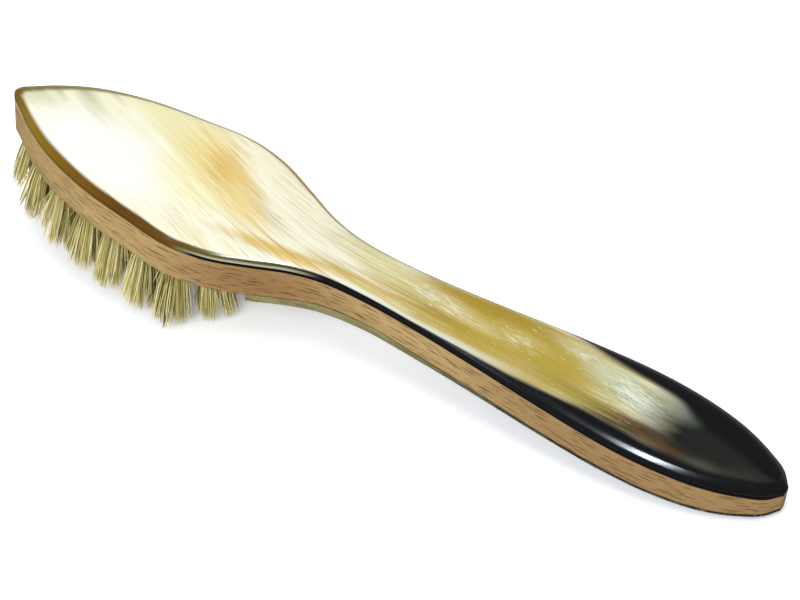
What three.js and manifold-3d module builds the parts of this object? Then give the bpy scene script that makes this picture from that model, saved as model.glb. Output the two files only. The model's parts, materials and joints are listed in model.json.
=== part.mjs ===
// A horn-backed clothes brush with a handle, bristled by hand. Tufts of boar bristle are folded over loops
// of wire and drawn into blind holes in a beech body. Two glued horn plates cover the wiring and face the
// handle. Millimetres. In the brush's own frame x runs from the head's tip to the handle's tip, y across
// it, and z up from the joint between the beech and its horn back.
import * as THREE from "three";
import { LoftGeometry } from "three/addons/geometries/LoftGeometry.js";
import { mergeVertices } from "three/addons/utils/BufferGeometryUtils.js";
import Module from "manifold-3d";

const wasm = await Module();
wasm.setup();

// ---- driving dimensions ----

const HEAD_TIP = 1.2;
const HANDLE_TIP = 250;
const GLUE_GAP = 0.3; // between pieces that are glued or pressed together
const STATIONS = 56; // cross-sections along a full-length piece

// Each law gives a size at a place x along the brush.
const HALF_WIDTH = [
  [1.2, 0.5], [1.8, 1.6], [2.8, 2.5], [4.3, 3.5], [7.2, 5.6], [10, 7.6], [20, 13.2], [35, 18.1], [52, 20.8],
  [68, 22.3], [80, 20.3], [91, 15.9], [101, 11.6], [110, 9.3], [123, 8.5], [140, 9.2], [160, 11.0],
  [182, 13.2], [205, 14.6], [220, 13.8], [232, 11.6], [241, 8.3], [247, 4.9], [250, 1.2],
];
const GLUE_LINE = [[0, 0], [100, 0], [140, 0.5], [180, 1.3], [230, 1.3], [250, 0.7]];
const BEECH_DEPTH = [
  [0, 13.7], [60, 13.0], [85, 12.3], [100, 11.6], [112, 10.2], [124, 9.4], [142, 10.0], [180, 10.4],
  [205, 10.1], [222, 9.7], [236, 8.7], [250, 6.2],
];
const BACK_EDGE = [[1, 1.2], [8, 1.5], [60, 1.4], [120, 1.1], [250, 1.1]]; // upright edge of the horn back
const GRIP_EDGE = [
  [90, 2.8], [118, 3.0], [135, 2.5], [150, 1.8], [175, 1.2], [230, 0.8], [250, 0.7],
];

const BEECH_ROUNDING = 0.8; // of the body's two lower edges
const BACK_SHOULDER_WIDTH = 4;
const BACK_SHOULDER_RISE = 1.3;
const BACK_DOME = 0.6;
const BACK_DOME_WIDTH = 8; // half-width under which the dome dies away
const RIDGE_SHARE = 0.98; // keeps the two shoulders from meeting where the plate is narrow
const GRIP_START = 90;
const GRIP_BELLY = 1.3; // how far the grip plate bulges below its edge
const GRIP_BELLY_WIDTH = 4; // half-width under which the bulge dies away

// The outer ring follows the head's outline, the inner one follows the outer. Each list is the far half of
// its ring and starts and ends on the centre line. Lean is outwards, in degrees.
const TUFT_RINGS = {
  outer: {
    lean: 8,
    count: 16,
    half: [
      [8.5, 0], [15, 5.6], [26, 10.5], [40, 14.2], [56, 16.8], [69, 17], [74.5, 11.5], [77, 4.5], [77.3, 0],
    ],
  },
  inner: {
    lean: 3.5,
    count: 10,
    half: [[21, 0], [31.5, 4], [42, 7.4], [52.5, 8.8], [62, 7.9], [68, 0]],
  },
};
const CENTRE_ROW = { start: 38, end: 58, count: 3 };

const FREE_LENGTH = 21; // of the bristle below the beech
const TUFT_TIP_RADIUS = 4.2;
const TUFT_ROOT_RADIUS = 2.9;
const TUFT_SIDES = 10;
const HOLE_RADIUS = 3.3;
const HOLE_DEPTH = 8;
const DRILL_OVERRUN = 4; // of each drilled bar outside the beech
const WIRE_HOLE_RADIUS = 1.8;
const WIRE_RADIUS = 0.25;
const WIRE_SIDES = 6;
const WIRE_SINK = 0.8; // of the wire's middle below the back of the beech
const LOOP_WIDTH = 1.6; // between the two strands that go down a wire hole
const LOOP_BEND = 0.4; // cut across each corner of the loop
const LOOP_BITE = 2.1; // how far the loop reaches below the fold of a tuft
const GROOVE_RADIUS = 0.7;
const GROOVE_OVERRUN = 0.6; // of a groove into the wire holes at its ends

// ---- materials ----

const finish = (color, roughness, metalness = 0) =>
  new THREE.MeshStandardMaterial({ color, roughness, metalness });
const beech = finish(0xb99b69, 0.45);
const paleHorn = finish(0xe6dba6, 0.18);
const darkHorn = finish(0x6d6b50, 0.22);
const bristle = finish(0xb4af78, 0.7);
const wire = finish(0xb08a4a, 0.35, 1);

// ---- helpers ----

// A smooth function of x through the points of a law.
function follow(law) {
  const track = new THREE.CubicInterpolant(law.map(([x]) => x), law.map(([, size]) => size), 1);
  return (x) => track.evaluate(x)[0];
}

const halfWidth = follow(HALF_WIDTH);
const glueLine = follow(GLUE_LINE);
const beechDepth = follow(BEECH_DEPTH);
const backEdge = follow(BACK_EDGE);
const gripEdge = follow(GRIP_EDGE);
const underside = (x) => glueLine(x) - beechDepth(x);

function toSolid(geometry) {
  const bare = new THREE.BufferGeometry();
  bare.setAttribute("position", geometry.getAttribute("position"));
  bare.setIndex(geometry.index);
  const merged = mergeVertices(bare, 1e-4);
  return new wasm.Manifold(new wasm.Mesh({
    numProp: 3,
    vertProperties: merged.attributes.position.array,
    triVerts: new Uint32Array(merged.index.array),
  }));
}

function toGeometry(solid) {
  const { vertProperties, triVerts } = solid.getMesh();
  const geometry = new THREE.BufferGeometry();
  geometry.setAttribute("position", new THREE.BufferAttribute(vertProperties, 3));
  geometry.setIndex(new THREE.BufferAttribute(triVerts, 1));
  geometry.computeVertexNormals();
  return geometry;
}

// A solid from startX to endX whose cross-section at x has the corners [y, z] of profile(x), anticlockwise
// as seen from the handle's tip. Sections crowd together towards both ends, where the outline turns
// fastest.
function loftAlongX(startX, endX, steps, profile) {
  const sections = [];
  for (let step = 0; step <= steps; step += 1) {
    const x = startX + ((endX - startX) * (1 - Math.cos((Math.PI * step) / steps))) / 2;
    sections.push(profile(x).map(([y, z]) => new THREE.Vector3(x, y, z)));
  }
  return new LoftGeometry(sections, { capStart: true, capEnd: true });
}

// The corners on the +y side, followed by their mirror images in reverse order.
const withMirror = (corners) => [...corners, ...corners.toReversed().map(([y, z]) => [-y, z])];

// A curve through its points by straight lines, which is sampled at the points themselves.
class WirePath extends THREE.Curve {
  constructor(points) {
    super();
    this.points = points;
  }

  getPoint(t, target = new THREE.Vector3()) {
    const last = this.points.length - 1;
    const index = Math.min(Math.floor(t * last), last - 1);
    return target.lerpVectors(this.points[index], this.points[index + 1], t * last - index);
  }

  getUtoTmapping(u) {
    return u;
  }
}

function tube(points, radius, sides) {
  const corners = Array.from({ length: sides }, (_, side) =>
    new THREE.Vector2(radius, 0).rotateAround(new THREE.Vector2(), (2 * Math.PI * side) / sides));
  return new THREE.ExtrudeGeometry(new THREE.Shape(corners), {
    steps: points.length - 1,
    extrudePath: new WirePath(points),
  });
}

// ---- beech and horn ----

function beechProfile(x) {
  const width = halfWidth(x);
  const rounding = Math.min(BEECH_ROUNDING, width / 2);
  const top = glueLine(x) - GLUE_GAP / 2;
  const bottom = underside(x);
  return withMirror([
    [width - rounding, bottom],
    [width - rounding * (1 - Math.SQRT1_2), bottom + rounding * (1 - Math.SQRT1_2)],
    [width, bottom + rounding],
    [width, top],
  ]);
}

// How many times longer a distance to the outline is across the brush than square to the outline.
function steepness(x) {
  const step = 0.05;
  const middle = THREE.MathUtils.clamp(x, HEAD_TIP + step, HANDLE_TIP - step);
  return Math.hypot(1, (halfWidth(middle + step) - halfWidth(middle - step)) / (2 * step));
}

function backProfile(x) {
  const width = halfWidth(x);
  const fullShoulder = BACK_SHOULDER_WIDTH * steepness(x);
  const shoulder = Math.min(fullShoulder, width);
  const rise = (BACK_SHOULDER_RISE * shoulder) / fullShoulder;
  const domeHeight = BACK_DOME * Math.min(1, width / BACK_DOME_WIDTH);
  const bottom = glueLine(x) + GLUE_GAP / 2;
  const corners = [[width, bottom]];
  for (const turn of [0, 0.25, 0.5, 0.75, 1]) {
    const angle = (turn * Math.PI) / 2;
    const y = width - shoulder * RIDGE_SHARE * (1 - Math.cos(angle));
    const dome = domeHeight * (1 - (y / width) ** 2);
    corners.push([y, bottom + backEdge(x) + rise * Math.sin(angle) + dome]);
  }
  return withMirror(corners);
}

function gripProfile(x) {
  const width = halfWidth(x);
  const top = underside(x) - GLUE_GAP;
  const edge = top - gripEdge(x);
  const belly = GRIP_BELLY * Math.min(1, width / GRIP_BELLY_WIDTH);
  const corners = [0.35, 0.7, 0.9, 1].map((share) => [share * width, edge - belly * (1 - share ** 3)]);
  return withMirror([...corners, [width, top]]);
}

const beechBlank = () => toSolid(loftAlongX(HEAD_TIP, HANDLE_TIP, STATIONS, beechProfile));
const hornBack = () => loftAlongX(HEAD_TIP, HANDLE_TIP, STATIONS, backProfile);
const hornGrip = () => loftAlongX(GRIP_START, HANDLE_TIP, Math.round(STATIONS / 2), gripProfile);

// ---- tufts ----

// A frame at a tuft's mouth on the underside of the beech. Local z runs up the hole, and local x along the
// row.
function tuftFrame(x, y, along, lean) {
  const outwards = new THREE.Vector3(along.y, -along.x, 0);
  const slant = Math.tan(THREE.MathUtils.degToRad(lean));
  const up = new THREE.Vector3(0, 0, 1).addScaledVector(outwards, -slant).normalize();
  const across = new THREE.Vector3().crossVectors(up, along);
  return new THREE.Matrix4().makeBasis(along, across, up).setPosition(x, y, underside(x));
}

function ringFrames({ lean, count, half }) {
  const otherHalf = half.slice(1, -1).toReversed().map(([x, y]) => [x, -y]);
  const points = [...half, ...otherHalf].map(([x, y]) => new THREE.Vector3(x, y, 0));
  const ring = new THREE.CatmullRomCurve3(points, true, "centripetal");
  const frames = [];
  for (let index = 0; index < count; index += 1) {
    const place = ring.getPointAt(index / count);
    frames.push(tuftFrame(place.x, place.y, ring.getTangentAt(index / count).negate(), lean));
  }
  return frames.toReversed();
}

function rowFrames({ start, end, count }) {
  const along = new THREE.Vector3(1, 0, 0);
  const pitch = (end - start) / (count - 1);
  return Array.from({ length: count }, (_, index) => tuftFrame(start + pitch * index, 0, along, 0));
}

const rows = {
  outer: ringFrames(TUFT_RINGS.outer),
  inner: ringFrames(TUFT_RINGS.inner),
  centre: rowFrames(CENTRE_ROW),
};

// The height of the wire's middle in its groove, measured up the hole of a frame.
function grooveHeight(frame) {
  const up = new THREE.Vector3().setFromMatrixColumn(frame, 2);
  const mouth = new THREE.Vector3().setFromMatrixPosition(frame);
  return (-GLUE_GAP / 2 - WIRE_SINK - mouth.z) / up.z;
}

const rootTop = HOLE_DEPTH - GLUE_GAP;

// The loop of wire around a tuft's fold, in that tuft's frame.
function loopPoints(frame) {
  const top = grooveHeight(frame);
  const bottom = rootTop - LOOP_BITE;
  const strand = LOOP_WIDTH / 2;
  const bend = LOOP_BEND;
  return [
    [-strand - bend, top], [-strand, top - bend], [-strand, bottom + bend], [0, bottom],
    [strand, bottom + bend], [strand, top - bend], [strand + bend, top],
  ].map(([along, height]) => new THREE.Vector3(along, 0, height));
}

// A round bar up the hole, from one height to another in the tuft's frame.
function rod(radius, low, high, sides) {
  return new THREE.CylinderGeometry(radius, radius, high - low, sides)
    .rotateX(Math.PI / 2)
    .translate(0, 0, (low + high) / 2);
}

function tuftShape(frame) {
  const profile = [
    [0, -FREE_LENGTH],
    [TUFT_TIP_RADIUS, -FREE_LENGTH],
    [(TUFT_TIP_RADIUS + TUFT_ROOT_RADIUS) / 2, -FREE_LENGTH / 3],
    [TUFT_ROOT_RADIUS, 0],
    [TUFT_ROOT_RADIUS, rootTop - TUFT_ROOT_RADIUS / 2],
    [TUFT_ROOT_RADIUS / 2, rootTop],
    [0, rootTop],
  ].map(([radius, height]) => new THREE.Vector2(radius, height));
  const bundle = new THREE.LatheGeometry(profile, TUFT_SIDES).rotateX(Math.PI / 2);
  const wireway = tube(loopPoints(frame), WIRE_RADIUS + GLUE_GAP, WIRE_SIDES);
  return toGeometry(toSolid(bundle).subtract(toSolid(wireway)));
}

// ---- wiring ----

function wirePoints(frames) {
  return frames.flatMap((frame) => loopPoints(frame).map((point) => point.applyMatrix4(frame)));
}

// A straight groove in the back of the beech, which holds the wire between two neighbouring tufts.
function groove(frameA, frameB) {
  const leaves = loopPoints(frameA).at(-1).applyMatrix4(frameA);
  const enters = loopPoints(frameB)[0].applyMatrix4(frameB);
  const overrun = enters.clone().sub(leaves).setLength(GROOVE_OVERRUN);
  return toSolid(tube([leaves.sub(overrun), enters.add(overrun)], GROOVE_RADIUS, WIRE_SIDES));
}

function drillBeech() {
  let body = beechBlank();
  for (const [name, frames] of Object.entries(rows)) {
    frames.forEach((frame, index) => {
      const blindHole = rod(HOLE_RADIUS, -DRILL_OVERRUN, HOLE_DEPTH, TUFT_SIDES);
      const wireHole = rod(WIRE_HOLE_RADIUS, 0, grooveHeight(frame) + DRILL_OVERRUN, WIRE_SIDES);
      body = body.subtract(toSolid(blindHole.applyMatrix4(frame)));
      body = body.subtract(toSolid(wireHole.applyMatrix4(frame)));
      const next = frames[index + 1] ?? (name === "centre" ? null : frames[0]);
      if (next) body = body.subtract(groove(frame, next));
    });
  }
  return toGeometry(body);
}

// ---- assembly ----

const brush = new THREE.Group();

function addPart(name, geometry, material) {
  const mesh = new THREE.Mesh(geometry, material);
  mesh.name = name;
  brush.add(mesh);
  return mesh;
}

addPart("beech_body", drillBeech(), beech);
addPart("horn_back_plate", hornBack(), paleHorn);
const gripPlate = addPart("horn_grip_plate", hornGrip(), darkHorn);

const tufts = [];
for (const [name, frames] of Object.entries(rows)) {
  addPart(`drawing_wire_${name}`, tube(wirePoints(frames), WIRE_RADIUS, WIRE_SIDES), wire);
  frames.forEach((frame, index) => {
    const label = String(index + 1).padStart(2, "0");
    const tuft = addPart(`tuft_${name}_${label}`, tuftShape(frame), bristle);
    tuft.applyMatrix4(frame);
    tufts.push(tuft);
  });
}

// Points of a mesh in the brush's own frame.
function pointsOf(mesh) {
  mesh.updateMatrix();
  const { position } = mesh.geometry.attributes;
  return Array.from({ length: position.count }, (_, index) =>
    new THREE.Vector3().fromBufferAttribute(position, index).applyMatrix4(mesh.matrix));
}

// Laid down, the brush tips back onto its hindmost bristles and the underside of its handle. The floor is
// the steepest line from a bristle that passes under the whole grip plate.
function restingSlope() {
  const gripPoints = pointsOf(gripPlate);
  const slopeFrom = (tip) => Math.min(...gripPoints.map((point) => (point.z - tip.z) / (point.x - tip.x)));
  return Math.max(...tufts.flatMap(pointsOf).filter((tip) => tip.x > CENTRE_ROW.end).map(slopeFrom));
}

brush.rotation.y = Math.atan(restingSlope());

// The origin is under the middle of the resting brush, on the floor.
const box = new THREE.Box3().setFromObject(brush, true);
const middle = box.getCenter(new THREE.Vector3());
brush.position.set(-middle.x, -middle.y, -box.min.z);

const root = new THREE.Group();
root.add(brush);

export default root;
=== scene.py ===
import json
import math

import bpy
import numpy as np
from mathutils import Matrix, Vector


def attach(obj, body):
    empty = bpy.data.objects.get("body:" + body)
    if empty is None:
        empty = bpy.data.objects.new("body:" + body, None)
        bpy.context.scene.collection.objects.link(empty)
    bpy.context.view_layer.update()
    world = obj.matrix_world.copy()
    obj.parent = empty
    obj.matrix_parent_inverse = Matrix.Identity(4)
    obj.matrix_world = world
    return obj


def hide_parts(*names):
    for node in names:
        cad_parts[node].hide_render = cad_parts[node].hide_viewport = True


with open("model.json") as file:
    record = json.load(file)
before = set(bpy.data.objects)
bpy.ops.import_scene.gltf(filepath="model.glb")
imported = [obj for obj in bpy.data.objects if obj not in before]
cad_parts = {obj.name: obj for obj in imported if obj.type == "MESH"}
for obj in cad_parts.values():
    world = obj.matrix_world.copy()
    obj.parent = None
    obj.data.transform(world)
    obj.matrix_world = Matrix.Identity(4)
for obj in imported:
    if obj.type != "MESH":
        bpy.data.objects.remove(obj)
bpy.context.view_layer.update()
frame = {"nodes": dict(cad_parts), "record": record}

MM = 0.001
LEVEL_LIGHT = 1.3  # how brightly the studio lights a level surface

# ---- size laws, as in the CAD: each gives a size at a place x along the brush ----

HEAD_TIP = 1.2
HANDLE_TIP = 250
HALF_WIDTH = [
    [1.2, 0.5], [1.8, 1.6], [2.8, 2.5], [4.3, 3.5], [7.2, 5.6], [10, 7.6], [20, 13.2], [35, 18.1],
    [52, 20.8], [68, 22.3], [80, 20.3], [91, 15.9], [101, 11.6], [110, 9.3], [123, 8.5], [140, 9.2],
    [160, 11.0], [182, 13.2], [205, 14.6], [220, 13.8], [232, 11.6], [241, 8.3], [247, 4.9], [250, 1.2],
]
GLUE_LINE = [[0, 0], [100, 0], [140, 0.5], [180, 1.3], [230, 1.3], [250, 0.7]]
BEECH_DEPTH = [
    [0, 13.7], [60, 13.0], [85, 12.3], [100, 11.6], [112, 10.2], [124, 9.4], [142, 10.0], [180, 10.4],
    [205, 10.1], [222, 9.7], [236, 8.7], [250, 6.2],
]
BACK_EDGE = [[1, 1.2], [8, 1.5], [60, 1.4], [120, 1.1], [250, 1.1]]  # upright edge of the horn back
GRIP_EDGE = [[90, 2.8], [118, 3.0], [135, 2.5], [150, 1.8], [175, 1.2], [230, 0.8], [250, 0.7]]
BACK_SHOULDER_WIDTH = 4
BACK_SHOULDER_RISE = 1.3
BACK_DOME = 0.6
BACK_DOME_WIDTH = 8  # half-width under which the dome dies away
RIDGE_SHARE = 0.98  # keeps the two shoulders from meeting where the plate is narrow
GRIP_START = 90
GRIP_BELLY = 1.3  # how far the grip plate bulges below its edge
GRIP_BELLY_WIDTH = 4  # half-width under which the bulge dies away
FREE_LENGTH = 21  # of the bristle below the beech
HOLE_RADIUS = 3.3
# A CAD tuft's lowest ring is at its tip, and its second ring two thirds of the way up to its mouth.
TIP_RING_BELOW = FREE_LENGTH / 6
SECOND_RING_ABOVE = FREE_LENGTH / 2
SECOND_RING_BELOW = FREE_LENGTH * 0.8
MOUTH_PER_RING = 1.5
CENTRE_TUFT = 48  # place of the tuft that carries the mount

# ---- fine detail that the CAD leaves out ----

STATIONS = 300  # cross-sections along a full-length piece
SLOPE_REACH = 0.05  # the outline's slope at x is taken from x less this to x plus this
CREASE_ANGLE = math.radians(35)  # edges sharper than this stay crisp
CORNER_STEPS = 5  # points round a rounded corner
SHOULDER_STEPS = 14
DOME_STEPS = 15
BELLY_STEPS = 12
BELLY_SHARE = 0.93  # share of the half-width that the grip's bulge takes
GLUE_FILM = 0.04  # between glued pieces
BEECH_ROUNDING = 0.8
JOINT_ROUNDING = 0.12  # of the edges on either side of a glued joint
GRIP_ROUNDING = 0.5
HOLE_SHOWN = 3.5  # depth of the tuft holes
HOLE_SIDES = 24

BRISTLES = {"outer": 400, "inner": 230, "centre": 230}  # in a tuft of each row
BRISTLE_RADIUS = 0.15
THINNEST, THICKEST = 0.75, 1.2  # shares of that radius
BRISTLE_START = 2.5  # how far up its hole a bristle starts
BRISTLE_SIDES = 3
BRISTLE_RINGS = [0, 0.2, 0.42, 0.64, 0.84, 0.95, 1.0]  # shares of the way from its start to its tip
BRISTLE_TAPER = [1, 1, 1, 0.92, 0.75, 0.5, 0.22]  # share of its radius at each ring
BUNDLE_RADIUS = 2.6
BUNDLE_SPREAD = 6.2  # radius at the tips
SPREAD_POWER = 0.85  # under 1, the bundle opens more near its mouth than near its tips
END_SCATTER = 0.6
BOW_SCATTER = 0.35
LENGTH_SCATTER = 0.55
END_CURVATURE = 0.035  # the end of a bundle is a shallow dome, which falls short by this times radius squared
WISPS = 8  # the tips of a bundle gather into this many wisps
WISP_SCATTER = 0.55  # of the wisps' middles, as a share of the spread
WISP_PULL = 0.3
WILD_SHARE = 0.08  # of the bristles, which stray from the bundle
WILD_SCATTER = 1.7
WILD_SHORTENING = 5
FLOOR_CLEARANCE = 0.15
SEED = 7

# Width of the dark rim on the horn back, on the near (-y) and far sides
NEAR_RIM = [
    [0, 1.3], [15, 1.5], [30, 1.8], [60, 2.0], [100, 1.2], [116, 0.95], [132, 0.85], [150, 1.3],
    [170, 2.5], [180, 3.7], [190, 5.2], [200, 6.2], [210, 5.5], [220, 4.6], [250, 3.6],
]
FAR_RIM = [
    [0, 2.4], [8, 2.5], [15, 2.1], [30, 1.5], [60, 1.0], [80, 1.3], [100, 1.1], [150, 0.7],
    [178, 0.8], [190, 2.6], [205, 5.2], [214, 6.2], [220, 8.5], [250, 6],
]
TIP_RIM = 2.6  # width of the rim at the head's tip
EDGE_TURN = 1.45  # about how high the upright edge of the horn back is along the head
FIBRE_SLANT = 0.36  # millimetres that the horn's fibres drift sideways for each one along the head
FIBRES_STRAIGHTEN = 98  # where they turn straight
FIBRE_BEND = 44  # and how gradually


def follow(law):
    """A smooth function of x through the points of a law. Its slope at a point is the mean of two chords."""
    places, sizes = np.array(law, float).T
    chords = np.diff(sizes) / np.diff(places)
    slopes = np.concatenate([chords[:1], (chords[1:] + chords[:-1]) / 2, chords[-1:]])

    def size_at(x):
        start = np.clip(np.searchsorted(places, x) - 1, 0, len(places) - 2)
        step = places[start + 1] - places[start]
        t = (x - places[start]) / step
        return (
            (1 + 2 * t) * (1 - t) ** 2 * sizes[start] + t * (1 - t) ** 2 * step * slopes[start]
            + t**2 * (3 - 2 * t) * sizes[start + 1] + t**2 * (t - 1) * step * slopes[start + 1]
        )

    return size_at


half_width = follow(HALF_WIDTH)
glue_line = follow(GLUE_LINE)
beech_depth = follow(BEECH_DEPTH)
back_edge = follow(BACK_EDGE)
grip_edge = follow(GRIP_EDGE)
near_rim = follow(NEAR_RIM)
far_rim = follow(FAR_RIM)


def underside(x):
    return glue_line(x) - beech_depth(x)


# ---- the brush's own frame, found from the mount on the centre tuft's flat end ----

mount = frame["record"]["mounts"][0]
tilt = math.atan2(-mount["axis"][0], -mount["axis"][2])
brush = Matrix.Rotation(tilt, 4, "Y")
centre_tip = Vector((CENTRE_TUFT, 0, underside(CENTRE_TUFT) - FREE_LENGTH)) * MM
brush.translation = Vector(mount["pos_m"]) - brush @ centre_tip
brush_inverse = brush.inverted()


# ---- meshes ----


def add_piece(name, points, faces, material, stands_for=(), attributes=None):
    """A piece that rides on the brush, from points in the brush's own frame in millimetres."""
    mesh = bpy.data.meshes.new(name)
    mesh.from_pydata((np.asarray(points) * MM).tolist(), [], faces)
    mesh.transform(brush)
    for label, values in (attributes or {}).items():
        layer = mesh.attributes.new(label, "FLOAT", "POINT")
        layer.data.foreach_set("value", np.asarray(values, np.float32))
    mesh.materials.append(material)
    piece = bpy.data.objects.new(name, mesh)
    bpy.context.scene.collection.objects.link(piece)
    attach(piece, "root")
    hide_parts(*stands_for)
    return piece


def smooth_shade(piece):
    piece.data.shade_smooth()
    piece.data.set_sharp_from_angle(angle=CREASE_ANGLE)


def rounded(corners):
    """Rounds the corners (y, z, radius) of an open line, and returns its points (y, z)."""
    points = []
    spots = [np.array(corner[:2], float) for corner in corners]
    for index, (corner, spot) in enumerate(zip(corners, spots)):
        radius = corner[2]
        if radius == 0:
            points.append(spot)
            continue
        before = spots[index - 1] - spot
        after = spots[index + 1] - spot
        start = spot + before * min(0.5, radius / np.linalg.norm(before))
        end = spot + after * min(0.5, radius / np.linalg.norm(after))
        for t in np.linspace(0, 1, CORNER_STEPS):
            points.append(start * (1 - t) ** 2 + spot * 2 * t * (1 - t) + end * t**2)
    return [tuple(point) for point in points]


def mirrored(half):
    """A closed section from its +y half, which starts off the centre line at the bottom and ends on it at the
    top."""
    return [*half, *((-y, z) for y, z in reversed(half[:-1]))]


def loft(start, end, steps, section):
    """Points and faces of a closed body along x. Sections crowd together towards both ends."""
    places = start + (end - start) * (1 - np.cos(np.linspace(0, math.pi, steps + 1))) / 2
    rings = np.array([[(x, y, z) for y, z in section(x)] for x in places])
    count = rings.shape[1]
    last = steps * count
    faces = [tuple(range(count))[::-1], tuple(range(last, last + count))]
    for ring in range(steps):
        for corner in range(count):
            other = (corner + 1) % count
            a, b = ring * count + corner, ring * count + other
            faces.append((a, b, b + count, a + count))
    return rings.reshape(-1, 3), faces


def beech_section(x):
    width = half_width(x)
    rounding = min(BEECH_ROUNDING, width / 2)
    top = glue_line(x) - GLUE_FILM / 2
    half = rounded([
        (width / 2, underside(x), 0),
        (width, underside(x), rounding),
        (width, top, JOINT_ROUNDING),
        (width / 2, top, 0),
    ])
    return mirrored([*half, (0, top)])


def steepness(x):
    """How many times wider than square to the outline a distance to it is across the brush."""
    return np.hypot(1, (half_width(x + SLOPE_REACH) - half_width(x - SLOPE_REACH)) / (2 * SLOPE_REACH))


def back_section(x):
    width = half_width(x)
    full = BACK_SHOULDER_WIDTH * steepness(x)
    shoulder = min(full, width)
    rise = BACK_SHOULDER_RISE * shoulder / full
    bottom = glue_line(x) + GLUE_FILM / 2
    height = BACK_DOME * min(1, width / BACK_DOME_WIDTH)

    def dome(y):
        return height * (1 - (y / width) ** 2)

    edge = bottom + back_edge(x)
    half = rounded([(width * 0.9, bottom, 0), (width, bottom, JOINT_ROUNDING), (width, edge, 0)])
    for angle in np.linspace(0, math.pi / 2, SHOULDER_STEPS)[1:]:
        y = width - shoulder * RIDGE_SHARE * (1 - math.cos(angle))
        half.append((y, edge + rise * math.sin(angle) + dome(y)))
    ridge = half[-1][0]
    for share in np.linspace(1, 0, DOME_STEPS)[1:]:
        half.append((ridge * share, edge + rise + dome(ridge * share)))
    return mirrored(half)


def grip_section(x):
    width = half_width(x)
    top = underside(x) - GLUE_FILM
    edge = top - grip_edge(x)
    belly = GRIP_BELLY * min(1, width / GRIP_BELLY_WIDTH)
    shares = np.linspace(0, BELLY_SHARE, BELLY_STEPS)
    under = [(share * width, edge - belly * (1 - share**3)) for share in shares]
    under[0] = (width * 0.02, under[0][1])  # just off the centre line, so that it and its mirror image differ
    rim = rounded([(*under[-1], 0), (width, edge, GRIP_ROUNDING), (width, top, JOINT_ROUNDING), (0, top, 0)])
    return mirrored([*under, *rim[1:]])


# ---- material helpers ----

UNBOUNDED = 1000  # half size of a patch of colour along z, so that it goes right through


def tint(red, green, blue):
    """An sRGB colour, 0 to 255, as the linear colour that a shader takes."""
    shares = (value / 255 for value in (red, green, blue))
    return (*(s / 12.92 if s <= 0.04045 else ((s + 0.055) / 1.055) ** 2.4 for s in shares), 1)


def lit(red, green, blue):
    """The colour of a level surface that looks like this sRGB colour in the studio's light."""
    return (*(value / LEVEL_LIGHT for value in tint(red, green, blue)[:3]), 1)


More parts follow.
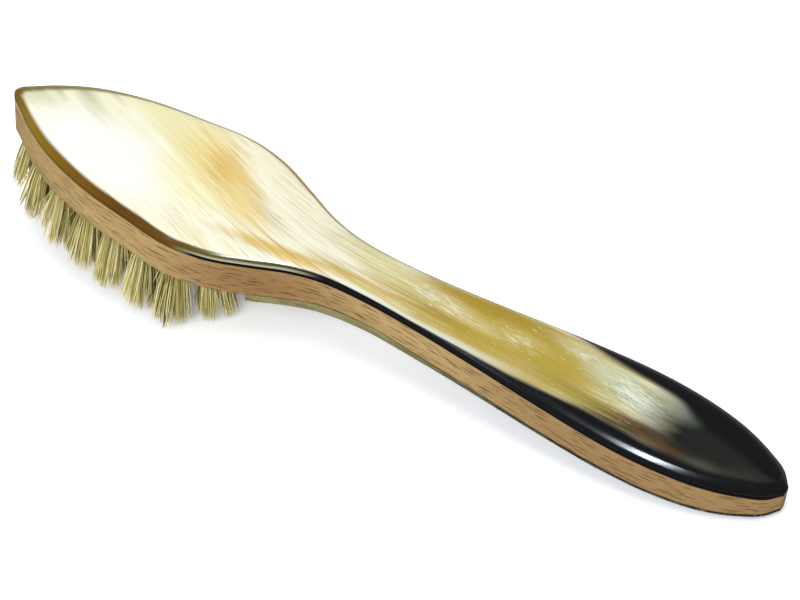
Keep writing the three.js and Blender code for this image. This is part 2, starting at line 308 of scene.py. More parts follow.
class Shade:
    """Builds the nodes of one material. Places are in the brush's own frame, in millimetres."""

    def __init__(self, name):
        self.material = bpy.data.materials.new(name)
        self.material.use_nodes = True
        self.tree = self.material.node_tree
        self.shader = self.tree.nodes["Principled BSDF"]
        place = self.add("ShaderNodeTexCoord").outputs["Object"]
        node = self.add("ShaderNodeMapping", place, vector_type="TEXTURE")
        node.inputs["Location"].default_value = brush.translation
        node.inputs["Rotation"].default_value = (0, tilt, 0)
        node.inputs["Scale"].default_value = (MM, MM, MM)
        self.place = node.outputs[0]
        self.x, self.y = self.add("ShaderNodeSeparateXYZ", self.place).outputs[:2]

    def add(self, kind, *values, **settings):
        node = self.tree.nodes.new(kind)
        for key, value in settings.items():
            setattr(node, key, value)
        for index, value in enumerate(values):
            self.put(node.inputs[index], value)
        return node

    def put(self, socket, value):
        if isinstance(value, bpy.types.NodeSocket):
            self.tree.links.new(value, socket)
        else:
            socket.default_value = value

    def set(self, **values):
        """Sets or joins the shader's own sockets, whose names are given with _ for a space."""
        for key, value in values.items():
            self.put(self.shader.inputs[key.replace("_", " ")], value)

    def math(self, operation, *values):
        return self.add("ShaderNodeMath", *values, operation=operation).outputs[0]

    def times(self, first, *others):
        for other in others:
            first = self.math("MULTIPLY", first, other)
        return first

    def plus(self, first, second):
        return self.math("ADD", first, second)

    def mix(self, factor, low, high):
        node = self.add("ShaderNodeMix", data_type="RGBA")
        for index, value in ((0, factor), (6, low), (7, high)):
            self.put(node.inputs[index], value)
        return node.outputs[2]

    def join(self, x, y, z):
        return self.add("ShaderNodeCombineXYZ", x, y, z).outputs[0]

    def within(self, place, centre, size, turn=0):
        """Places counted from a centre, turned, and in units of size along each axis."""
        node = self.add("ShaderNodeMapping", place, vector_type="TEXTURE")
        node.inputs["Location"].default_value = centre
        node.inputs["Rotation"].default_value = (0, 0, math.radians(turn))
        node.inputs["Scale"].default_value = size
        return node.outputs[0]

    def noise(self, place, size, detail=2.0, roughness=0.5):
        """Smooth noise round 0.5 whose blotches have this size along each axis."""
        node = self.add("ShaderNodeTexNoise", self.within(place, (0, 0, 0), size))
        node.inputs["Scale"].default_value = 1
        node.inputs["Detail"].default_value = detail
        node.inputs["Roughness"].default_value = roughness
        return node.outputs[0]

    def step(self, value, low, high, bottom=0.0, top=1.0):
        """Goes smoothly from bottom at low to top at high."""
        limits = (low, high, bottom, top)
        return self.add("ShaderNodeMapRange", value, *limits, interpolation_type="SMOOTHSTEP").outputs[0]

    def dashes(self, spacing, reach):
        """Scattered lens-shaped marks, with their spacing and half size along each axis."""
        place = self.within(self.place, (0, 0, 0), spacing)
        cells = self.add("ShaderNodeTexVoronoi", place)
        cells.inputs["Scale"].default_value = 1
        middle = cells.outputs["Position"]
        offset = self.add("ShaderNodeVectorMath", place, middle, operation="SUBTRACT").outputs[0]
        scale = [gap / half for gap, half in zip(spacing, reach)]
        offset = self.add("ShaderNodeVectorMath", offset, scale, operation="MULTIPLY").outputs[0]
        return self.step(self.length(offset), 1.2, 0.7)

    def patch(self, centre, turn, size):
        """0 at the centre (x, y) of a turned ellipse, and 1 on its outline. Size is its half length and half
        width."""
        return self.length(self.within(self.place, (*centre, 0), (*size, UNBOUNDED), turn))

    def between(self, low_end, low, high, high_end):
        """A mask along the brush: 1 from low to high, and 0 outside the ends."""
        return self.times(self.step(self.x, low_end, low), self.step(self.x, high_end, high))

    def ramp(self, value, stops):
        node = self.add("ShaderNodeValToRGB", value)
        elements = node.color_ramp.elements
        while len(elements) < len(stops):
            elements.new(0.5)
        for element, (position, colour) in zip(elements, stops):
            element.position = position
            element.color = colour
        return node.outputs[0]

    def length(self, place):
        return self.add("ShaderNodeVectorMath", place, operation="LENGTH").outputs["Value"]

    def levelness(self):
        """Goes from 0 on an upright face to 1 on a level one, above or below."""
        normal = self.add("ShaderNodeTexCoord").outputs["Normal"]
        return self.math("ABSOLUTE", self.add("ShaderNodeSeparateXYZ", normal).outputs["Z"])

    def attribute(self, name):
        return self.add("ShaderNodeAttribute", attribute_name=name).outputs["Fac"]

    def bump(self, height, distance, strength=1.0):
        """Distance is in millimetres."""
        node = self.add("ShaderNodeBump")
        node.inputs["Strength"].default_value = strength
        node.inputs["Distance"].default_value = distance * MM
        self.put(node.inputs["Height"], height)
        self.set(Normal=node.outputs[0])


# ---- materials ----


def make_beech():
    shade = Shade("beech")
    # Steamed beech: warm and even, with faint growth lines and short dark ray flecks along the grain. It is
    # browner towards the handle's tip. The near side of the neck is darkened with painted shade.
    tone = shade.noise(shade.place, (60, 9, 5), detail=3)
    lines = shade.noise(shade.place, (38, 1.3, 0.55), detail=3, roughness=0.6)
    fibres = shade.noise(shade.place, (7, 0.16, 0.16), detail=2)
    colour = shade.ramp(tone, [
        (0.3, tint(158, 130, 80)), (0.55, tint(170, 142, 89)), (0.75, tint(180, 153, 100)),
    ])
    colour = shade.mix(shade.step(lines, 0.5, 0.72, 0, 0.34), colour, tint(136, 102, 58))
    colour = shade.mix(shade.step(shade.x, 130, 200, 0, 0.9), colour, tint(144, 113, 70))
    colour = shade.mix(shade.step(fibres, 0.42, 0.2, 0, 0.25), colour, tint(130, 94, 50))
    colour = shade.mix(shade.step(fibres, 0.55, 0.8, 0, 0.3), colour, tint(196, 166, 112))
    # Painted shade: a darker patch on the near side of the neck
    neck = shade.length(shade.within(shade.place, (91, -15, -6), (37, 18, 14)))
    colour = shade.mix(shade.step(neck, 1.1, 0.2, 0, 0.85), colour, tint(136, 99, 56))
    long_flecks = shade.dashes((9, 3, 1.8), (2.9, 2.6, 0.18))
    short_flecks = shade.dashes((7, 2.4, 1.5), (1.4, 2.0, 0.13))
    flecks = shade.math("MAXIMUM", long_flecks, shade.times(short_flecks, 0.7))
    flecks = shade.times(flecks, shade.step(shade.levelness(), 0.7, 0.3, 0.15, 1))
    colour = shade.mix(shade.times(flecks, 0.95), colour, tint(66, 38, 14))
    shade.set(Base_Color=colour, Roughness=shade.step(fibres, 0.2, 0.8, 0.5, 0.36), Specular_IOR_Level=0.3)
    shade.bump(shade.math("SUBTRACT", fibres, shade.times(flecks, 0.6)), 0.03, 0.5)
    return shade.material


# The figure of the horn, laid on in this order: centre, turn in degrees, half length and half width,
# colour, strength, softness of the edge
HORN_FIGURE = [
    ((162, 0), 0, (54, 16), lit(186, 162, 62), 1.0, 0.55),  # the gold of the handle
    ((36, -7), -4, (30, 13), lit(255, 255, 250), 0.95, 0.6),  # almost white on the head
    ((62, -1), -18, (15, 12), lit(254, 250, 196), 0.8, 0.9),
    ((44, 14), -16, (24, 6), lit(242, 234, 174), 0.75, 0.8),
    ((17, 9.8), -26, (15, 3.0), lit(184, 182, 134), 0.8, 1.0),  # grey-olive towards the tip
    ((25, 13.6), -22, (9, 1.4), lit(186, 182, 128), 0.5, 1.0),
    ((11, 6.2), -28, (6, 1.3), lit(176, 174, 126), 0.55, 1.0),
    ((8, 1), 10, (9, 5), lit(214, 216, 172), 0.75, 0.9),
    ((64, 9), -30, (20, 11), lit(243, 220, 146), 0.95, 0.9),  # amber heart
    ((69, 7.5), -34, (10, 6.5), lit(228, 190, 100), 0.9, 1.0),
    ((77, 3), -36, (13, 5), lit(242, 216, 140), 0.75, 1.0),
    ((80, 14), -25, (9, 4.0), lit(252, 248, 212), 0.85, 0.8),
    ((80, -2), -18, (14, 4.6), lit(241, 218, 140), 0.85, 1.0),
    ((96, -8.2), 8, (24, 2.5), lit(226, 192, 96), 1.0, 0.8),  # golden vein into the neck
    ((103, -6.6), 8, (8, 1.4), lit(204, 164, 76), 0.6, 1.0),
    ((102, 1.5), -14, (19, 5), lit(250, 247, 222), 0.8, 0.9),  # pearly
    ((84, 2), -22, (13, 2.2), lit(190, 150, 86), 0.35, 1.0),
    ((124, 3.4), -5, (18, 4.5), lit(226, 220, 158), 0.75, 0.9),
    ((120, -4.7), -1, (22, 2.0), lit(206, 180, 98), 1.0, 0.9),
    ((158, 7), 3, (28, 3.4), lit(170, 142, 34), 0.85, 0.9),
    ((160, -5.0), -3, (28, 2.8), lit(184, 157, 46), 0.8, 0.9),
    ((145, -2.6), -2, (14, 1.7), lit(164, 134, 26), 0.75, 1.0),
    ((194, -5.4), -3, (24, 3.6), lit(160, 146, 62), 0.9, 0.9),
    ((144, 1.6), -5, (20, 3.4), lit(222, 210, 152), 0.85, 1.0),
    ((167, 2.4), -3, (12, 3.4), lit(208, 192, 116), 0.6, 1.0),
    ((183, 7.6), -3, (10, 3.0), lit(218, 210, 158), 0.7, 1.0),
    ((200, 3.4), -6, (18, 5.8), lit(186, 190, 140), 1.0, 0.9),  # pearly end of the gold
    ((199, 4.4), -6, (14, 4.6), lit(216, 223, 190), 0.9, 1.0),
    ((205, 1.6), -8, (9, 3.0), lit(232, 240, 226), 0.9, 1.0),
    ((210, -6.2), -1, (17, 3.4), lit(84, 58, 28), 1.0, 0.9),  # brown before the black
    ((194, 11.2), -3, (16, 1.7), lit(74, 48, 26), 0.95, 0.9),
]

# The horn turns black between these places, or up to 10 mm nearer the head where its edge is ragged.
BLACK_START = (206, 224)

# Clouds in the black end: a brown one (the second), which is the horn's own, green-grey painted sheen (the
# first, third and fourth), which is a reflection painted into the colour, and a pale grey one near the far
# side (the last), which is partly the pearly horn's end and partly painted sheen. Columns: centre, turn in
# degrees, half length and half width, colour
BLACK_CLOUDS_AND_SHEEN = [
    ((230, -0.5), -2, (24, 9), tint(25, 28, 23)),
    ((214, -8), -2, (14, 3.6), tint(66, 50, 26)),
    ((229, -7.6), 4, (9, 2.8), tint(62, 63, 53)),
    ((239, -4.5), 18, (9, 3.6), tint(40, 42, 34)),
    ((214.5, 5.4), -8, (7.5, 4.2), tint(86, 94, 84)),
]

# Patches of short silver flecks in the handle: centre, turn in degrees, half length and half width,
# strength, and the colour of the gaps between the flecks
SILVER_PATCHES = [
    ((142, 1.4), -5, (20, 4.0), 0.8, lit(190, 168, 84)),
    ((166, 1.6), -2, (13, 4.6), 0.55, lit(178, 152, 60)),
    ((184, 7.0), -3, (11, 3.2), 0.75, lit(178, 162, 84)),
    ((204, 2.6), -7, (17, 6.8), 1.0, lit(152, 158, 118)),
]


def lay_figure(shade, colour, feather):
    """Lays on HORN_FIGURE, whose edges are feathered along the fibres."""
    for centre, turn, size, hue, strength, softness in HORN_FIGURE:
        reach = shade.plus(shade.patch(centre, turn, size), feather)
        colour = shade.mix(shade.step(reach, 1 + softness / 3, 1 - softness, 0, strength), colour, hue)
    return colour


def lay_hairlines(shade, colour, along_fibre, fine, hair):
    """Pale and dark hairlines between the fibres, with a finer set at the neck."""
    along_head = shade.step(shade.x, 55, 95, 0.22, 0.5)
    along_handle = shade.step(shade.x, 150, 110, 0.25, 1)
    pale = shade.times(along_head, along_handle, shade.step(fine, 0.54, 0.66))
    colour = shade.mix(pale, colour, lit(255, 254, 238))
    dark = shade.times(shade.step(fine, 0.47, 0.3), shade.step(shade.x, 44, 70, 0.05, 0.34))
    colour = shade.mix(dark, colour, lit(176, 140, 70))
    dark = shade.times(shade.step(hair, 0.42, 0.28), shade.step(shade.x, 44, 68, 0.07, 0.5))
    colour = shade.mix(dark, colour, lit(166, 130, 66))

    at_neck = shade.between(66, 92, 126, 160)
    thin = shade.noise(along_fibre, (20, 0.21, 1), detail=2, roughness=0.6)
    dark = shade.times(at_neck, shade.step(thin, 0.47, 0.33, 0, 0.42))
    colour = shade.mix(dark, colour, lit(172, 146, 82))
    pale = shade.times(at_neck, shade.step(thin, 0.53, 0.66, 0, 0.5))
    return shade.mix(pale, colour, lit(250, 250, 224))


def lay_flecks(shade, colour):
    """Lays silver flecks and their gaps on SILVER_PATCHES."""
    turned = shade.within(shade.place, (0, 0, 0), (1, 1, 1), -6)
    flecks = shade.noise(turned, (3.6, 0.34, 1), detail=3, roughness=0.7)
    for centre, turn, size, strength, gap_hue in SILVER_PATCHES:
        inside = shade.patch(centre, turn, size)
        gap = shade.times(shade.step(flecks, 0.5, 0.38), shade.step(inside, 1.0, 0.3, 0, 0.7 * strength))
        colour = shade.mix(gap, colour, gap_hue)
        fleck = shade.plus(flecks, shade.step(inside, 0.0, 1.2, 0.03, -0.17))
        colour = shade.mix(shade.step(fleck, 0.49, 0.6, 0, strength), colour, lit(238, 240, 222))
    return colour


def lay_black_end(shade, colour, feather, fine, broad):
    """Lays the black end on, with the brown clouds and the painted green-grey sheen of the table above, and a
    ragged edge along the fibres.
    """
    black = tint(4, 4, 5)
    for centre, turn, size, hue in BLACK_CLOUDS_AND_SHEEN:
        reach = shade.plus(shade.patch(centre, turn, size), shade.times(feather, 0.6))
        black = shade.mix(shade.step(reach, 1.25, 0.2), black, hue)
    ragged = shade.plus(shade.x, shade.times(shade.plus(broad, fine), 5))
    return shade.mix(shade.step(ragged, *BLACK_START), colour, black)


def rim_colour(shade):
    """The rim's colours, which change from the head's tip to the handle's, with a black foot along the near
    edge of the neck and a silvery painted reflection above it.
    """
    share = shade.math("DIVIDE", shade.x, HANDLE_TIP)
    near_hue = shade.ramp(share, [
        (0.0, tint(92, 73, 10)), (0.05, tint(123, 99, 14)), (0.12, tint(108, 76, 6)), (0.2, tint(88, 54, 5)),
        (0.27, tint(86, 60, 10)), (0.34, tint(88, 80, 34)), (0.4, tint(60, 58, 36)), (0.44, tint(10, 10, 11)),
        (1.0, tint(5, 5, 6)),
    ])
    far_hue = shade.ramp(share, [
        (0.0, tint(104, 88, 30)), (0.06, tint(120, 114, 54)), (0.24, tint(156, 150, 98)),
        (0.32, tint(150, 120, 58)), (0.38, tint(156, 118, 52)), (0.46, tint(150, 142, 82)),
        (0.66, tint(146, 130, 50)), (0.72, tint(40, 28, 12)), (0.76, tint(6, 6, 7)), (1.0, tint(5, 5, 6)),
    ])
    hue = shade.mix(shade.step(shade.y, -0.5, 0.5), near_hue, far_hue)

    # Along the near edge of the neck: black at the foot, then a silvery streak above it, which is a painted
    # reflection
    lift = shade.attribute("lift")
    near = shade.step(shade.y, 0.5, -0.5)
    silver = shade.times(shade.between(68, 80, 98, 112), shade.step(lift, 2.0, 1.6, 0, 0.85), near)
    hue = shade.mix(silver, hue, tint(166, 168, 140))
    foot = shade.times(shade.step(shade.x, 70, 76), shade.step(lift, EDGE_TURN, 1.2))
    all_black = shade.step(shade.math("SUBTRACT", shade.x, shade.times(lift, 4)), 98, 106)
    foot = shade.times(shade.math("MAXIMUM", foot, all_black), near)
    hue = shade.mix(foot, hue, tint(6, 6, 7))
    # A dark line at the glued joint, and one along the head where the upright edge turns into the shoulder
    hue = shade.mix(shade.step(lift, 0.32, 0.2), hue, tint(30, 18, 8))
    off_line = shade.math("ABSOLUTE", shade.math("SUBTRACT", lift, EDGE_TURN))
    line = shade.times(shade.step(off_line, 0.24, 0.08, 0, 0.6), shade.step(shade.x, 74, 60), near)
    return shade.mix(line, hue, tint(62, 38, 6))


def make_horn_back():
    shade = Shade("horn_back")
    # Fibres slant across the head and straighten into the handle.
    slant = shade.times(shade.math("SMOOTH_MIN", shade.x, FIBRES_STRAIGHTEN, FIBRE_BEND), FIBRE_SLANT)
    along_fibre = shade.join(shade.x, shade.plus(shade.y, slant), 0.0)
    fine = shade.noise(along_fibre, (26, 0.3, 1), detail=3, roughness=0.65)
    broad = shade.noise(along_fibre, (30, 2.6, 1), detail=2)
    hair = shade.noise(along_fibre, (12, 0.3, 1), detail=1)
    feather = shade.plus(shade.times(fine, 0.7), shade.times(broad, 0.9))
    feather = shade.math("SUBTRACT", feather, 0.8)

    colour = shade.ramp(broad, [(0.3, lit(246, 240, 200)), (0.6, lit(255, 253, 228))])
    colour = lay_figure(shade, colour, feather)
    colour = lay_hairlines(shade, colour, along_fibre, fine, hair)
    colour = lay_flecks(shade, colour)
    colour = lay_black_end(shade, colour, feather, fine, broad)

    # The rim, with a pale strip beside it along the near side of the handle
    rim = shade.plus(shade.attribute("rim"), shade.times(feather, 0.35))
    near = shade.step(shade.y, 0.5, -0.5, 0, 0.8)
    beside = shade.times(shade.step(rim, 2.6, 1.4), shade.between(96, 130, 148, 184), near)
    colour = shade.mix(beside, colour, lit(220, 224, 208))
    rim_end = shade.step(shade.x, 70, 0, 1.25, 1.8)
    colour = shade.mix(shade.step(rim, rim_end, 0.8), colour, rim_colour(shade))

    roughness = shade.step(broad, 0.2, 0.8, 0.17, 0.08)
    shade.set(Base_Color=colour, Roughness=roughness, Specular_IOR_Level=0.24)
    shade.bump(shade.plus(fine, shade.times(hair, 0.4)), 0.008, 0.5)
    return shade.material


def make_horn_grip():
    shade = Shade("horn_grip")
    broad = shade.noise(shade.place, (30, 2.6, 2.6), detail=2)
    fine = shade.noise(shade.place, (16, 0.4, 0.4), detail=3)
    ragged = shade.plus(shade.x, shade.times(broad, 20))
    colour = shade.ramp(shade.math("DIVIDE", ragged, HANDLE_TIP), [
        (0.36, tint(110, 98, 58)), (0.42, tint(132, 122, 78)), (0.5, tint(130, 122, 80)),
        (0.6, tint(106, 100, 62)), (0.72, tint(56, 52, 36)), (0.84, tint(22, 22, 20)),
        (1.0, tint(14, 14, 14)),
    ])
    colour = shade.mix(shade.step(fine, 0.5, 0.75, 0, 0.35), colour, tint(190, 188, 150))
    colour = shade.mix(shade.step(broad, 0.5, 0.3, 0, 0.4), colour, tint(70, 66, 42))
    shade.set(Base_Color=colour, Roughness=shade.step(fine, 0.2, 0.8, 0.28, 0.16))
    shade.set(Specular_IOR_Level=0.5, Coat_Weight=0.3, Coat_Roughness=0.06)
    shade.bump(fine, 0.008, 0.5)
    return shade.material


def make_bristle():
    shade = Shade("bristle")
    tone = shade.attribute("tone")  # differs from bristle to bristle, and the few under 0.02 are dark
    reach = shade.attribute("reach")
    mottle = shade.noise(shade.place, (1.2, 1.2, 4), detail=1)
    colour = shade.ramp(tone, [
        (0.0, tint(38, 32, 24)), (0.02, tint(52, 44, 32)), (0.03, tint(148, 135, 68)),
        (0.5, tint(208, 195, 116)), (1.0, tint(246, 237, 184)),
    ])
    # Painted shade: darker towards the roots, under the beech and among the packed bristles
    colour = shade.mix(shade.step(reach, 0.5, 0.05, 0, 0.6), colour, tint(122, 103, 44))
    bright = shade.times(shade.step(reach, 0.86, 1.0, 0, 0.55), shade.step(tone, 0.02, 0.1))
    colour = shade.mix(bright, colour, tint(244, 236, 194))
    colour = shade.mix(shade.step(mottle, 0.55, 0.8, 0, 0.2), colour, tint(188, 170, 96))
    roughness = shade.step(mottle, 0.2, 0.8, 0.45, 0.62)
    shade.set(Base_Color=colour, Roughness=roughness, Specular_IOR_Level=0.4)
    return shade.material


def make_brass():
    shade = Shade("brass_wire")
    drawn = shade.noise(shade.place, (3, 0.2, 0.2), detail=2)
    colour = shade.mix(shade.step(drawn, 0.3, 0.7), tint(176, 138, 74), tint(206, 170, 104))
    shade.set(Base_Color=colour, Roughness=shade.step(drawn, 0.2, 0.8, 0.3, 0.5), Metallic=1.0)
    shade.bump(drawn, 0.01, 0.4)
    return shade.material


def make_floor():
    shade = Shade("floor")
    speckle = shade.noise(shade.place, (60, 60, 60), detail=1)
    colour = shade.mix(shade.step(speckle, 0.3, 0.7), tint(250, 250, 251), tint(252, 252, 253))
    shade.set(Base_Color=colour, Roughness=0.8, Specular_IOR_Level=0.1)
    shade.set(Emission_Color=tint(240, 246, 255), Emission_Strength=0.22)
    return shade.material


# ---- beech and horn ----


def add_horn_back():
    """Its attribute rim goes from 0 on the outline to 1 where the rim ends, and lift is its height in mm."""
    points, faces = loft(HEAD_TIP, HANDLE_TIP, STATIONS, back_section)
    x, y, z = points.T
    to_outline = (half_width(x) - np.abs(y)) / steepness(x)
    rim = np.minimum(to_outline / np.where(y < 0, near_rim(x), far_rim(x)), (x - HEAD_TIP) / TIP_RIM)
    piece = add_piece(
        "horn_back", points, faces, make_horn_back(), ["horn_back_plate"],
        {"rim": rim, "lift": z - glue_line(x)})
    smooth_shade(piece)


add_horn_back()

points, faces = loft(GRIP_START, HANDLE_TIP, STATIONS // 2, grip_section)
horn_grip = add_piece("horn_grip", points, faces, make_horn_grip(), ["horn_grip_plate"])
smooth_shade(horn_grip)

points, faces = loft(HEAD_TIP, HANDLE_TIP, STATIONS, beech_section)
beech = add_piece("beech", points, faces, make_beech(), ["beech_body"])


# ---- tufts ----


def tuft_axis(node):
    """The mouth and tip of a CAD tuft, in the brush's own frame, from the middles of its two lowest rings."""
    corners = {tuple(round(value, 3) for value in (brush_inverse @ v.co) / MM) for v in node.data.vertices}
    corners = np.array(sorted(corners))
    height = corners[:, 2] - corners[:, 2].min()
    tip = corners[height < TIP_RING_BELOW].mean(0)
    ring = corners[(height > SECOND_RING_ABOVE) & (height < SECOND_RING_BELOW)].mean(0)
    return tip + (ring - tip) * MOUTH_PER_RING, tip


tuft_nodes = {name: node for name, node in sorted(frame["nodes"].items()) if name.startswith("tuft_")}
axes = {name: tuft_axis(node) for name, node in tuft_nodes.items()}


def across(direction):
    """Two unit vectors square to a direction and to each other."""
    first = np.cross(direction, (0, 1, 0))
    first /= np.linalg.norm(first)
    return first, np.cross(direction, first)


def drill_holes():
    """Cuts the mouth of every tuft's blind hole in the beech."""
    corners, walls = [], []
    for mouth, tip in axes.values():
        up = (mouth - tip) / np.linalg.norm(mouth - tip)
        first, second = across(up)
        start = len(corners)
        for height in (-HOLE_SHOWN, HOLE_SHOWN):
            for side in range(HOLE_SIDES):
                turn = 2 * math.pi * side / HOLE_SIDES
                spoke = first * math.cos(turn) + second * math.sin(turn)
                corners.append((mouth + up * height + spoke * HOLE_RADIUS) * MM)
        low = [start + side for side in range(HOLE_SIDES)]
        high = [corner + HOLE_SIDES for corner in low]
        walls += [tuple(low), tuple(reversed(high))]
        walls += [(low[s - 1], high[s - 1], high[s], low[s]) for s in range(HOLE_SIDES)]
    mesh = bpy.data.meshes.new("holes")
    mesh.from_pydata([tuple(corner) for corner in corners], [], walls)
    cutter = bpy.data.objects.new("holes", mesh)
    bpy.context.scene.collection.objects.link(cutter)
    mesh.transform(brush)
    drill = beech.modifiers.new("holes", "BOOLEAN")
    drill.object = cutter
    drill.operation = "DIFFERENCE"
    drill.solver = "EXACT"
    bpy.context.view_layer.update()
    drilled = bpy.data.meshes.new_from_object(beech.evaluated_get(bpy.context.evaluated_depsgraph_get()))
    beech.modifiers.clear()
    beech.data = drilled
    bpy.data.objects.remove(cutter)


drill_holes()
smooth_shade(beech)


def bristle_ends(rng, count):
    """Where each bristle starts and ends, square to the bundle, and which bristles are wild."""
    radius = BUNDLE_RADIUS * np.sqrt(rng.random(count))
    turn = rng.random(count) * 2 * math.pi
    root = np.stack([radius * np.cos(turn), radius * np.sin(turn)], 1)
    end = root * BUNDLE_SPREAD / BUNDLE_RADIUS + rng.normal(0, END_SCATTER, (count, 2))
    wild = rng.random(count) < WILD_SHARE
    end[wild] += rng.normal(0, WILD_SCATTER, (wild.sum(), 2))
    wisps = rng.normal(0, BUNDLE_SPREAD * WISP_SCATTER, (WISPS, 2))
    nearest = np.argmin(np.linalg.norm(end[:, None] - wisps[None], axis=2), axis=1)
    end[~wild] += (wisps[nearest] - end)[~wild] * WISP_PULL
    return root, end, wild


def bristle_faces(count):
    """Faces of closed tubes, each one with BRISTLE_SIDES corners on every ring."""
    sides, rings = BRISTLE_SIDES, len(BRISTLE_RINGS)
    faces = []
    for bristle in range(count):
        start = bristle * rings * sides
        last = start + (rings - 1) * sides
        faces.append(tuple(range(start, start + sides)))
        faces.append(tuple(range(last, last + sides))[::-1])
        for step in range(rings - 1):
            for side in range(sides):
                a = start + step * sides + side
                b = start + step * sides + (side + 1) % sides
                faces.append((a, a + sides, b + sides, b))
    return faces


def bundle(rng, mouth, tip, count):
    """Points, faces and attributes of a bundle of tapered bristles that fans out from a hole."""
    down = (tip - mouth) / np.linalg.norm(tip - mouth)
    first, second = across(-down)
    spokes = np.stack([first, second])
    root, end, wild = bristle_ends(rng, count)
    bow = rng.normal(0, BOW_SCATTER, (count, 2))
    length = FREE_LENGTH + BRISTLE_START + rng.normal(0, LENGTH_SCATTER, count)
    length = length - END_CURVATURE * np.sum(end**2, 1)
    length[wild] -= rng.random(wild.sum()) * WILD_SHORTENING

    def centreline(share):
        offset = root[:, None] + (end - root)[:, None] * (share**SPREAD_POWER)[..., None]
        offset = offset + bow[:, None] * np.sin(share * math.pi)[..., None]
        drop = share * length[:, None] - BRISTLE_START
        return mouth + offset @ spokes + drop[..., None] * down

    # A bristle that would reach the floor is cut off just above it.
    share = np.tile(BRISTLE_RINGS, (count, 1))
    turned = np.array(brush.to_3x3())
    heights = (centreline(share) * MM) @ turned.T + np.array(brush.translation)
    drop = heights[:, 0, 2] - heights[:, -1, 2]
    room = (heights[:, 0, 2] - FLOOR_CLEARANCE * MM) / drop
    share *= np.minimum(1, room)[:, None]
    line = centreline(share)

    taper = np.array(BRISTLE_TAPER)
    thickness = BRISTLE_RADIUS * rng.uniform(THINNEST, THICKEST, count)[:, None] * taper[None]
    around = 2 * math.pi * np.arange(BRISTLE_SIDES) / BRISTLE_SIDES
    spin = rng.random(count) * math.pi
    angle = around[None] + spin[:, None]
    ring = np.cos(angle)[..., None] * first + np.sin(angle)[..., None] * second
    corners = line[:, :, None] + ring[:, None] * thickness[..., None, None]
    tone = np.repeat(rng.random(count), len(BRISTLE_RINGS) * BRISTLE_SIDES)
    reach = np.tile(np.repeat(BRISTLE_RINGS, BRISTLE_SIDES), count)
    return corners.reshape(-1, 3), bristle_faces(count), {"tone": tone, "reach": reach}


bristle_material = make_bristle()
for index, (name, (mouth, tip)) in enumerate(axes.items()):
    rng = np.random.default_rng(SEED + index)
    row = name.split("_")[1]
    points, faces, attributes = bundle(rng, mouth, tip, BRISTLES[row])
    label = name.replace("tuft", "bristles")
    tuft = add_piece(label, points, faces, bristle_material, [name], attributes)
    tuft.data.shade_smooth()

brass = make_brass()
for name, node in frame["nodes"].items():
    if name.startswith("drawing_wire"):
        node.data.materials.clear()
        node.data.materials.append(brass)


# ---- studio ----

VIEW_AZIMUTH = math.radians(27.34)
VIEW_ELEVATION = math.radians(52.26)
VIEW_ROLL = math.radians(5.35)
VIEW_DISTANCE = 961.66
VIEW_OFFSET = (-4.16, 4.05)
VIEW_LENS = 157.33
MIDDLE = Vector((HANDLE_TIP / 2, 0, 0))
WORLD_COLOUR = (0.93, 0.96, 1.0, 1)
WORLD_HORIZON = 1.0
WORLD_ZENITH = 0.42
WORLD_GROUND = 0.15  # share of the strength above it
WORLD_RISE = (0.12, 0.5)  # heights, from -1 straight down to 1 straight up, between which it dims
WORLD_FALL = (-0.25, -0.05)  # and between which the ground takes over
FLOOR_SIZE = 6  # metres
FLOOR_STEPS = 12


def from_angles(azimuth, elevation):
    """A unit vector in the brush's own frame towards an azimuth and elevation in radians."""
    flat = math.cos(elevation)
    return Vector((math.sin(azimuth) * flat, -math.cos(azimuth) * flat, math.sin(elevation)))


def add_camera():
    back = from_angles(VIEW_AZIMUTH, VIEW_ELEVATION)
    right = Vector((math.cos(VIEW_AZIMUTH), math.sin(VIEW_AZIMUTH), 0))
    up = back.cross(right)
    right, up = (
        right * math.cos(VIEW_ROLL) + up * math.sin(VIEW_ROLL),
        up * math.cos(VIEW_ROLL) - right * math.sin(VIEW_ROLL),
    )
    place = MIDDLE + back * VIEW_DISTANCE - right * VIEW_OFFSET[0] - up * VIEW_OFFSET[1]
    pose = Matrix((right, up, back)).transposed().to_4x4()
    pose.translation = place * MM
    data = bpy.data.cameras.new("camera")
    data.lens = VIEW_LENS
    data.clip_start = 0.01
    camera = bpy.data.objects.new("camera", data)
    bpy.context.scene.collection.objects.link(camera)
    camera.matrix_world = brush @ pose
    bpy.context.scene.camera = camera


def add_lamp(name, azimuth, elevation, distance, size, power, colour=(1, 1, 1)):
    """A rectangular lamp that faces the middle of the brush, with its angles in degrees."""
    data = bpy.data.lights.new(name, "AREA")
    data.shape = "RECTANGLE"
    data.size, data.size_y = size
    data.energy = power
    data.color = colour
    lamp = bpy.data.objects.new(name, data)
    bpy.context.scene.collection.objects.link(lamp)
    towards = brush.to_3x3() @ from_angles(math.radians(azimuth), math.radians(elevation))
    lamp.location = brush @ (MIDDLE * MM) + towards * distance
    lamp.rotation_mode = "QUATERNION"
    lamp.rotation_quaternion = towards.to_track_quat("Z", "Y")
    return lamp


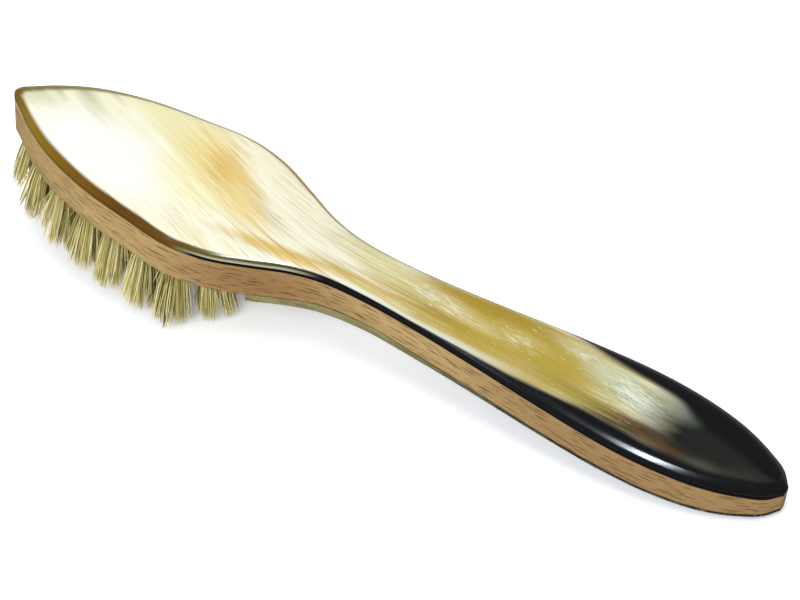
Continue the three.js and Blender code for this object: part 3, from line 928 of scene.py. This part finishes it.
def add_floor():
    places = [FLOOR_SIZE * (step / FLOOR_STEPS - 0.5) for step in range(FLOOR_STEPS + 1)]
    corners = [(x, y, 0) for y in places for x in places]
    count = len(places)
    firsts = [row * count + column for row in range(FLOOR_STEPS) for column in range(FLOOR_STEPS)]
    quads = [(first, first + 1, first + count + 1, first + count) for first in firsts]
    mesh = bpy.data.meshes.new("floor")
    mesh.from_pydata(corners, [], quads)
    mesh.materials.append(make_floor())
    floor = bpy.data.objects.new("floor", mesh)
    floor.visible_glossy = False  # a white floor in every upright edge would pale the wood and the horn
    bpy.context.scene.collection.objects.link(floor)


add_camera()
add_floor()
# Broad reflections would grey the black horn, so the softboxes light the surfaces and only the windows show
# as gloss.
for softbox in (
    add_lamp("overhead", 207, 80, 1.1, (1.4, 0.6), 7.8),
    add_lamp("front", -10, 42, 1.5, (1.2, 0.9), 14.5),
):
    softbox.visible_glossy = False
for window in (
    add_lamp("window", -90, 85, 1.2, (0.42, 0.06), 12, (0.76, 0.87, 1.0)),
    add_lamp("window_strip", -94, 70, 1.2, (1.3, 0.03), 0.9, (0.7, 0.8, 1.0)),
):
    window.visible_diffuse = False


def add_world():
    """A pale studio that is brightest at the horizon, over a dim ground that only reflections see."""
    world = bpy.data.worlds.new("studio")
    world.use_nodes = True
    nodes, links = world.node_tree.nodes, world.node_tree.links
    height = nodes.new("ShaderNodeSeparateXYZ")
    links.new(nodes.new("ShaderNodeTexCoord").outputs["Generated"], height.inputs[0])

    def fade(low, high, bottom, top):
        node = nodes.new("ShaderNodeMapRange")
        node.interpolation_type = "SMOOTHSTEP"
        links.new(height.outputs["Z"], node.inputs[0])
        for index, value in enumerate((low, high, bottom, top), 1):
            node.inputs[index].default_value = value
        return node.outputs[0]

    strength = nodes.new("ShaderNodeMath")
    strength.operation = "MULTIPLY"
    links.new(fade(*WORLD_RISE, WORLD_HORIZON, WORLD_ZENITH), strength.inputs[0])
    links.new(fade(*WORLD_FALL, WORLD_GROUND, 1), strength.inputs[1])
    links.new(strength.outputs[0], nodes["Background"].inputs["Strength"])
    nodes["Background"].inputs["Color"].default_value = WORLD_COLOUR
    bpy.context.scene.world = world


add_world()
bpy.context.scene.view_settings.view_transform = "Standard"
